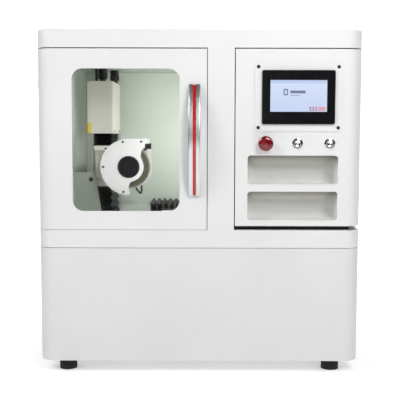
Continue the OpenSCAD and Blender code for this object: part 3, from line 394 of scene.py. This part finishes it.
def polished(name, colour):
    """Polished or plated metal with faint fingerprints and hairlines."""
    n = Nodes(name)
    smudge = n.noise(60.0, 4.0, 0.6)
    hair = n.noise(300.0, 2.0, 0.5, n.mapped(scale=(1, 1, 0.05)))
    return n.surface(colour, n.range(smudge, 0.35, 0.75, 0.07, 0.17), 1.0,
                     n.bump(hair, 0.00002, 0.15))


def rubber(name, colour=(0.022, 0.022, 0.023), rough=0.62, grain=700.0):
    """Matte rubber with a pebbled grain and a little dust."""
    n = Nodes(name)
    cells = n.voronoi(grain)["Distance"]
    dust = n.noise(18.0, 5.0, 0.6)
    dusty = tuple(c + 0.02 for c in colour)
    tint = n.mix(n.range(dust, 0.5, 0.85, 0.0, 0.35), colour, dusty)
    return n.surface(tint, n.range(dust, 0.3, 0.8, rough - 0.06, rough + 0.14),
                     normal=n.bump(cells, 0.00015, 0.3), Specular_IOR_Level=0.22)


def plastic(name, colour, rough):
    """Moulded plastic with an even spark-eroded texture."""
    n = Nodes(name)
    fine = n.noise(900.0, 3.0, 0.6)
    worn = n.noise(25.0, 3.0, 0.5)
    paler = tuple(min(1, c * 1.15 + 0.01) for c in colour)
    tint = n.mix(n.range(worn, 0.4, 0.8, 0.0, 0.25), colour, paler)
    return n.surface(tint, n.range(worn, 0.3, 0.7, rough - 0.04, rough + 0.08),
                     normal=n.bump(fine, 0.00006, 0.35), Specular_IOR_Level=0.25)


def cast_iron(name, colour, rough=0.6):
    """Painted casting: lumpy skin under a thick coat."""
    n = Nodes(name)
    lumps = n.noise(180.0, 4.0, 0.6)
    patches = n.noise(9.0, 4.0, 0.5)
    tint = n.mix(n.range(patches, 0.35, 0.7), shade(colour, 0.88), colour)
    return n.surface(tint, n.range(lumps, 0.3, 0.7, rough - 0.08, rough + 0.1),
                     normal=n.bump(lumps, 0.0004, 0.35))


def galvanised(name):
    """Zinc-coated sheet: a spangle of flat crystals, each with its own tone."""
    n = Nodes(name)
    tone = n.add("SeparateColor")
    n.put(tone, "Color", n.voronoi(70.0)["Color"])
    tint = n.ramp(tone.outputs[0], [(0.0, (0.42, 0.43, 0.44)), (1.0, (0.60, 0.61, 0.62))])
    return n.surface(tint, n.range(tone.outputs[1], 0, 1, 0.32, 0.5), 0.9)


def bellows_cloth(name):
    """Coated cloth: a tight weave on the folds, lighter in patches on their crests."""
    n = Nodes(name)
    weave_a = n.add("TexWave", wave_type="BANDS", bands_direction="X")
    weave_b = n.add("TexWave", wave_type="BANDS", bands_direction="Z")
    for w in (weave_a, weave_b):
        n.put(w, "Vector", n.coords())
        w.inputs["Scale"].default_value = 350.0
    weave = n.math("MULTIPLY", weave_a.outputs["Fac"], weave_b.outputs["Fac"])
    crest = n.add("NewGeometry").outputs["Pointiness"]
    # crests lighter where the noise is high
    worn = n.range(crest, 0.51, 0.60)
    dust = n.noise(30.0, 5.0, 0.6)
    tint = n.mix(n.math("MULTIPLY", worn, dust), (0.006,) * 3, (0.035,) * 3)
    return n.surface(tint, n.range(dust, 0.3, 0.7, 0.42, 0.6),
                     normal=n.bump(weave, 0.0001, 0.25), Specular_IOR_Level=0.2)


def abrasive(name, grit, centre):
    """Grinding wheel: an olive resin body, and a paler grey band of coated grains at its rim.
    The wheel's axis runs along Y through centre."""
    n = Nodes(name)
    place = n.mapped(move=tuple(-c for c in centre))
    flat = n.add("VectorMath", operation="MULTIPLY")
    n.put(flat, 0, place)
    flat.inputs[1].default_value = (1, 0, 1)
    length = n.add("VectorMath", operation="LENGTH")
    n.put(length, 0, flat.outputs[0])
    radius = length.outputs["Value"]
    grains = n.voronoi(1.0 / grit)["Distance"]
    clump = n.noise(220.0, 5.0, 0.7)
    body = n.ramp(clump, [(0.25, (0.050, 0.046, 0.026)), (0.5, (0.105, 0.098, 0.058)),
                          (0.8, (0.20, 0.19, 0.13))])
    rim = n.ramp(grains, [(0.0, (0.34, 0.33, 0.30)), (0.6, (0.15, 0.145, 0.12)),
                          (1.0, (0.05, 0.05, 0.04))])
    tint = n.mix(n.range(radius, *GRAIN_BAND), body, rim)
    height = n.math("ADD", n.math("MULTIPLY", grains, 0.7), clump)
    return n.surface(tint, n.range(clump, 0.3, 0.7, 0.55, 0.85),
                     normal=n.bump(height, 0.0005, 0.6))


def tray_coat_painted_shade(name, box, peel):
    """Powder coat with painted shade: its tone deepens under each tray's upper lip, where the lip
    shades the tray. The trays divide the box's height evenly, and the painted shade follows the
    height within a tray."""
    (_, _, z0), (_, _, z1) = box
    n = Nodes.reopened(powder_coat(name, (1.0, 1.0, 1.0), 0.45, peel))
    height = n.range(n.axes()[2], z0 - TRAY_MARGIN, z1 + TRAY_MARGIN, 0.0, TRAYS)
    # painted shade, darkest just under each tray's upper lip
    tone = n.ramp(n.math("FRACT", height), TRAY_PAINTED_SHADE)
    n.put(n.shader, "Base Color", n.mix(1.0, n.colour(), tone, "MULTIPLY"))
    return n.mat


def cover_coat(name, colour, patch, peel):
    """Powder coat with one plain yellow patch; the patch is the box from patch[0] to patch[1]."""
    n = Nodes.reopened(powder_coat(name, colour, 0.45, peel, 0.04))
    x, y, z = (n.between(*limits) for limits in zip(n.axes(), *patch))
    inside = n.math("MULTIPLY", n.math("MULTIPLY", x, y), z)
    n.put(n.shader, "Base Color", n.mix(inside, n.colour(), (0.72, 0.56, 0.02)))
    return n.mat


def window_glass(name):
    """Clear safety glass with a faint green body colour."""
    n = Nodes(name)
    return n.surface((0.93, 0.97, 0.95), 0.02, Transmission_Weight=1.0, IOR=1.45, Alpha=0.04)


def display(name, box):
    """Lit screen: a pale blue field, a picture frame, bars and two soft keys, all plain shapes."""
    (x0, _, z0), (x1, _, z1) = box
    n = Nodes(name)
    x, _, z = n.axes()
    across, up = n.range(x, x0, x1), n.range(z, z0, z1)
    tint = n.ramp(up, [(0.0, (0.56, 0.66, 0.88)), (1.0, (0.66, 0.74, 0.93))])
    for (left, right, bottom, top), colour in SCREEN_SHAPES:
        inside = n.math("MULTIPLY", n.between(across, left, right), n.between(up, bottom, top))
        tint = n.mix(inside, tint, colour)
    mat = n.surface((0.02, 0.02, 0.025), n.range(n.noise(200.0), 0.3, 0.7, 0.10, 0.16),
                    Emission_Strength=1.0)
    n.put(n.shader, "Emission Color", tint)
    return mat


def gloss_plastic(name, colour, rough):
    """Moulded plastic with a polished skin and faint scuffs."""
    n = Nodes(name)
    scuff = n.noise(90.0, 5.0, 0.65)
    paler = tuple(min(1, c * 1.2 + 0.004) for c in colour)
    tint = n.mix(n.range(scuff, 0.45, 0.8, 0, 0.4), colour, paler)
    return n.surface(tint, n.range(scuff, 0.4, 0.8, rough, rough + 0.12),
                     normal=n.bump(scuff, 0.00003, 0.2), Coat_Weight=0.4, Coat_Roughness=0.06)


def paint_nodes(material, *names):
    """Gives CAD nodes a finish through their objects' material slots."""
    for name in names:
        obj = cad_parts[name]
        for s in obj.material_slots:
            s.link = "OBJECT"
            s.material = material
        if not obj.material_slots:
            obj.data.materials.append(material)


# ---------------------------------------------------------------- pieces


def folded_cover(x, y, z, halves, fold, back, crest=0):
    """Bellows open at the back, made of a number of half pleats. Along the stack the section is
    a U whose corners are mitred; its inset follows a zigzag,
    inset = fold * |1 - 2 * frac(p)| ** FOLD_SHARPNESS with p = (t * halves + crest) / 2.
    With crest=1 the stack starts on a pleat's outside, with 0 on its inside.
    Rows run along Z, columns follow the U: first its outside, then the inner corners back."""
    rows = halves * HALF_ROWS + 1
    t = np.linspace(0, 1, rows)
    zigzag = np.abs(1 - 2 * np.mod((t * halves + crest) / 2, 1.0))
    inset = fold * zigzag ** FOLD_SHARPNESS
    yb = np.full(rows, back)
    ring = []
    for k in (0.0, COVER_SKIN):
        x0, x1, y0 = x[0] + inset + k, x[1] - inset - k, y + inset + k
        ring.append([np.stack(c, 1) for c in ((x0, yb), (x0, y0), (x1, y0), (x1, yb))])
    outer, inner = ring
    spans = (SIDE_COLUMNS, FRONT_COLUMNS, SIDE_COLUMNS)
    columns = []
    for start, end, count in zip(outer, outer[1:], spans):
        s = np.linspace(0, 1, count, endpoint=False)[:, None, None]
        columns.append(start * (1 - s) + end * s)
    path = np.concatenate([*columns, outer[-1][None], *(c[None] for c in reversed(inner))])
    zs = z[0] + (z[1] - z[0]) * t
    heights = np.broadcast_to(zs[None, :, None], (*path.shape[:2], 1))
    points = np.concatenate([path, heights], 2).transpose(1, 0, 2)
    n = points.shape[1]
    faces = grid_faces(rows, n, closed=True)
    # the wall's thickness at both ends, a face for each side of the U
    corners = np.cumsum([0, *spans]).tolist()
    for base in (0, (rows - 1) * n):
        for k, (a, b) in enumerate(zip(corners, corners[1:]), 1):
            faces.append([base + i for i in range(a, b + 1)] + [base + n - 1 - k, base + n - k])
    return points.reshape(-1, 3), faces


class SHARPENER_OT_bellows(bpy.types.Operator):
    """Makes the three folded covers, which stretch between the frame and their slides."""

    bl_idname = "sharpener.bellows"
    bl_label = "Folded covers"

    def execute(self, context):
        s = context.scene.sharpener_head
        cloth = bellows_cloth("bellows cloth")
        for node, halves, ends in (
            ("upper_bellows", s.folds_high, ("grinding_head", "cabinet")),
            ("lower_bellows", s.folds_low, ("cabinet", "grinding_head")),
        ):
            lo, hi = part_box(node)
            points, faces = folded_cover(
                (lo[0], hi[0]), lo[1], (lo[2], hi[2]), halves, FOLD_DEPTH[node], hi[1])
            obj = recalculate(linked(mesh_of("cover_" + node, points, faces, cloth)))
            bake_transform(obj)
            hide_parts(node)
        # built upright like the others, then laid along X with its back down
        lo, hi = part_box("x_bellows")
        points, faces = folded_cover(
            (-hi[1], -lo[1]), -hi[2], (lo[0], hi[0]), s.folds_cross,
            FOLD_DEPTH["x_bellows"], -lo[2], crest=1)
        turned = np.stack([points[:, 2], -points[:, 0], -points[:, 1]], 1)
        obj = recalculate(linked(mesh_of("cover_x_bellows", turned, faces, cloth)))
        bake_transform(obj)
        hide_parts("x_bellows")
        return {"FINISHED"}


class SHARPENER_OT_finishes(bpy.types.Operator):
    """Gives every CAD node its finish."""

    bl_idname = "sharpener.finishes"
    bl_label = "Finishes"

    def execute(self, context):
        cabinet, head = context.scene.sharpener_cabinet, context.scene.sharpener_head
        self.housing(cabinet)
        self.chamber(cabinet)
        self.castings_and_metal()
        self.fittings()
        self.grinding_head(cabinet, head)
        self.controls()
        return {"FINISHED"}

    @staticmethod
    def housing(c):
        """Outer sheets, doors and feet."""
        white = powder_coat("white powder coat", tuple(c.white), 0.40, c.peel)
        # the base housing gets the white coat in painted shade
        base = powder_coat("base powder coat in painted shade", shade(c.white, BASE_PAINTED_SHADE), 0.40, c.peel)
        paint_nodes(white, "upper_shell", "rear_panel", "left_door_panel",
                    "right_door_panel", "control_plate")
        paint_nodes(base, "base_shell")
        # the trays' coat carries painted shade under their upper lips
        paint_nodes(tray_coat_painted_shade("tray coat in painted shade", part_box("storage_trays"), c.peel), "storage_trays")
        paint_nodes(brushed("handle metal", (0.74, 0.75, 0.77), 0.26, (60, 60, 1)), "door_handle")
        paint_nodes(gloss_plastic("red strip", (0.42, 0.012, 0.014), 0.16), "handle_insert")
        paint_nodes(rubber("foot rubber"), "foot_pads", "door_seals", "window_seal")
        paint_nodes(window_glass("window glass"), "window_pane")

    @staticmethod
    def chamber(c):
        """Painted sheets inside the grinding chamber."""
        green = powder_coat("chamber paint", tuple(c.green), 0.5, c.peel, 0.06)
        paint_nodes(green, "chamber_liner")
        # side plate, cross table and ceiling get darker copies of the chamber green as painted
        # shade
        for node, share in GREEN_PAINTED_SHADE:
            name = f"{node.replace('_', ' ')} paint"
            paint_nodes(powder_coat(name, shade(c.green, share), 0.5, c.peel, 0.06), node)
        lo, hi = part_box("z_motor_cover")
        patch = (
            (lo[0] - PATCH_OVERLAP, lo[1] - PATCH_OVERLAP, lo[2] + PATCH_LOW),
            (lo[0] + PATCH_ACROSS, lo[1] + PATCH_DEEP, lo[2] + PATCH_HIGH),
        )
        paint_nodes(cover_coat("motor cover paint", tuple(c.beige), patch, c.peel),
                    "z_motor_cover")

    @staticmethod
    def castings_and_metal():
        """Bed, column and heads, and the bare or plated metal."""
        paint_nodes(cast_iron("bed casting", (0.30, 0.33, 0.32)), "machine_bed")
        paint_nodes(cast_iron("column casting", (0.58, 0.60, 0.57), 0.5), "z_column")
        paint_nodes(cast_iron("head casting", (0.84, 0.84, 0.75), 0.5), "z_saddle", "work_head")
        paint_nodes(brushed("stainless tray", (0.60, 0.61, 0.62), 0.28, (60, 1, 60)),
                    "chamber_floor")
        paint_nodes(galvanised("galvanised sheet"), "mounting_plate")
        paint_nodes(brushed("zinc plate", (0.55, 0.56, 0.58), 0.34, (30, 30, 1)),
                    "foot_studs", "power_supply", "hinge_pins", "wheel_flange")
        paint_nodes(brushed("ground steel", (0.58, 0.59, 0.61), 0.22, (80, 80, 1)),
                    "linear_rails", "slide_carriages", "z_ballscrew", "x_ballscrew",
                    "spindle_shaft", "collet_chuck")
        paint_nodes(brushed("blackened steel", (0.018, 0.018, 0.018), 0.38, (1, 1, 1), 0.6),
                    "panel_screws", "guard_screws", "plate_screws")

    @staticmethod
    def fittings():
        """Hoses, plastic fittings and the electrical equipment."""
        paint_nodes(rubber("hose rubber", (0.007, 0.007, 0.007), 0.5, 1200.0),
                    "conduits", "spindle_cable")
        paint_nodes(plastic("black fittings", (0.016, 0.016, 0.017), 0.42),
                    "cover_plug", "cable_glands", "cord_gland", "coolant_nozzle", "nozzle_knob")
        paint_nodes(plastic("drive cases", (0.045, 0.047, 0.052), 0.5), "servo_drives")
        paint_nodes(plastic("motor coat", (0.02, 0.02, 0.022), 0.5), "axis_motors")

    @staticmethod
    def grinding_head(c, head):
        """Spindle, wheel and guard."""
        paint_nodes(powder_coat("guard paint", (0.80, 0.80, 0.79), 0.38, c.peel * 0.6),
                    "guard_cover", "wheel_guard")
        paint_nodes(brushed("anodised spindle", (0.36, 0.37, 0.40), 0.34, (1, 80, 1)),
                    "spindle_housing")
        paint_nodes(plastic("badge film", (0.005, 0.005, 0.005), 0.4), "guard_badge")
        lo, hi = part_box("grinding_wheel")
        centre = tuple((a + b) / 2 for a, b in zip(lo, hi))
        paint_nodes(abrasive("wheel body", head.grit, centre), "grinding_wheel")

    @staticmethod
    def controls():
        """Touch panel and buttons."""
        paint_nodes(gloss_plastic("panel frame", (0.006, 0.006, 0.007), 0.10), "touch_panel")
        paint_nodes(display("lit screen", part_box("touch_screen")), "touch_screen")
        paint_nodes(polished("button plating", (0.78, 0.79, 0.81)),
                    "button_bezels", "power_button", "start_button")
        paint_nodes(gloss_plastic("stop red", (0.17, 0.003, 0.007), 0.10), "stop_button")


class SHARPENER_OT_stage(bpy.types.Operator):
    """Floor, backdrop, lights and camera."""

    bl_idname = "sharpener.stage"
    bl_label = "Stage"

    def execute(self, context):
        s = context.scene.sharpener_stage
        scene = context.scene
        self.sweep(s)
        scene.world = self.surroundings(s)
        for row in (*LAMPS, *CARDS):
            self.lamp(*row)
        scene.camera = self.camera(s)
        scene.view_settings.view_transform = "Standard"
        return {"FINISHED"}

    @staticmethod
    def sweep(s):
        """Floor that bends up into the backdrop."""
        n = Nodes("floor")
        ahead = n.axes()[1]
        tone = n.ramp(n.range(ahead, *FLOOR_TONE), [(0.0, FLOOR_FAR), (1.0, FLOOR_NEAR)])
        n.surface(tone, n.range(n.noise(6.0), 0.3, 0.7, 0.75, 0.85))
        n.put(n.shader, "Emission Color", (1, 1, 1, 1))
        n.put(n.shader, "Emission Strength",
              n.range(ahead, *FLOOR_GLOW, s.backdrop, GLOW_GAIN * s.backdrop))
        t = np.linspace(0, np.pi / 2, SWEEP_STEPS)
        y = np.concatenate([[SWEEP_FRONT], SWEEP_BEND + SWEEP_RADIUS * np.sin(t),
                            [SWEEP_BEND + SWEEP_RADIUS]])
        z = np.concatenate([[0.0], SWEEP_RADIUS - SWEEP_RADIUS * np.cos(t), [SWEEP_TOP]])
        x = np.array([-SWEEP_HALF, SWEEP_HALF])
        points = np.stack([np.repeat(x[None], len(y), 0), np.repeat(y[:, None], 2, 1),
                           np.repeat(z[:, None], 2, 1)], 2).reshape(-1, 3)
        mesh = mesh_of("sweep", points, grid_faces(len(y), 2), n.mat)
        mesh.shade_smooth()
        sweep = linked(mesh)

    @staticmethod
    def surroundings(s):
        """A plain white view. It lights nothing: the lamps and the sweep do that."""
        world = bpy.data.worlds.new("studio")
        world.use_nodes = True
        inputs = world.node_tree.nodes["Background"].inputs
        inputs["Color"].default_value = (1, 1, 1, 1)
        inputs["Strength"].default_value = s.surround
        world.cycles_visibility.diffuse = False
        world.cycles_visibility.glossy = False
        return world

    @staticmethod
    def lamp(name, place, aim, wide, high, power):
        """Softbox, or a card, which shows only in gloss."""
        light = bpy.data.lights.new(name, "AREA")
        light.shape, light.size, light.size_y = "RECTANGLE", wide, high
        light.energy = power
        obj = linked(light)
        obj.location = place
        obj.rotation_euler = (Vector(place) - Vector(aim)).to_track_quat("Z", "Y").to_euler()
        obj.visible_camera = False
        obj.visible_diffuse = "card" not in name

    @staticmethod
    def camera(s):
        """Camera in front of the doors, looking a little down."""
        front = min(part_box("left_door_panel")[0][1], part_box("upper_shell")[0][1])
        cam = bpy.data.cameras.new("camera")
        cam.lens, cam.sensor_width, cam.sensor_fit = s.focal, SENSOR_WIDTH, "HORIZONTAL"
        cam.clip_end = CAMERA_REACH
        obj = linked(cam)
        place = Matrix.Translation((s.aside, front - s.distance, s.height))
        turn = Matrix.Rotation(np.pi / 2 - s.pitch, 4, "X") @ Matrix.Rotation(s.roll, 4, "Z")
        obj.matrix_world = place @ turn
        return obj


class SHARPENER_PT_panel(bpy.types.Panel):
    """Sidebar panel with the sizes, the colours and the operators."""

    bl_label = "Sharpener"
    bl_idname = "SHARPENER_PT_panel"
    bl_space_type = "VIEW_3D"
    bl_region_type = "UI"
    bl_category = "Sharpener"

    def draw(self, context):
        scene = context.scene
        for group in (scene.sharpener_cabinet, scene.sharpener_head, scene.sharpener_stage):
            box = self.layout.box()
            for key in group.bl_rna.properties.keys():
                if key not in {"rna_type", "name"}:
                    box.prop(group, key)
        for operator in OPERATORS:
            self.layout.operator(operator.bl_idname)


GROUPS = {
    "sharpener_cabinet": SharpenerCabinet,
    "sharpener_head": SharpenerHead,
    "sharpener_stage": SharpenerStage,
}
OPERATORS = (
    SHARPENER_OT_stage,
    SHARPENER_OT_finishes,
    SHARPENER_OT_bellows,
)


def register():
    """Registers the classes and hangs the property groups on the scene."""
    for cls in (*GROUPS.values(), *OPERATORS, SHARPENER_PT_panel):
        bpy.utils.register_class(cls)
    for name, cls in GROUPS.items():
        setattr(bpy.types.Scene, name, PointerProperty(type=cls))


def unregister():
    """Takes the property groups and the classes away again."""
    for name in GROUPS:
        delattr(bpy.types.Scene, name)
    for cls in reversed((*GROUPS.values(), *OPERATORS, SHARPENER_PT_panel)):
        bpy.utils.unregister_class(cls)


def main():
    """Builds the whole scene."""
    register()
    bpy.ops.sharpener.stage()
    bpy.ops.sharpener.finishes()
    bpy.ops.sharpener.bellows()


if __name__ == "__main__":
    main()
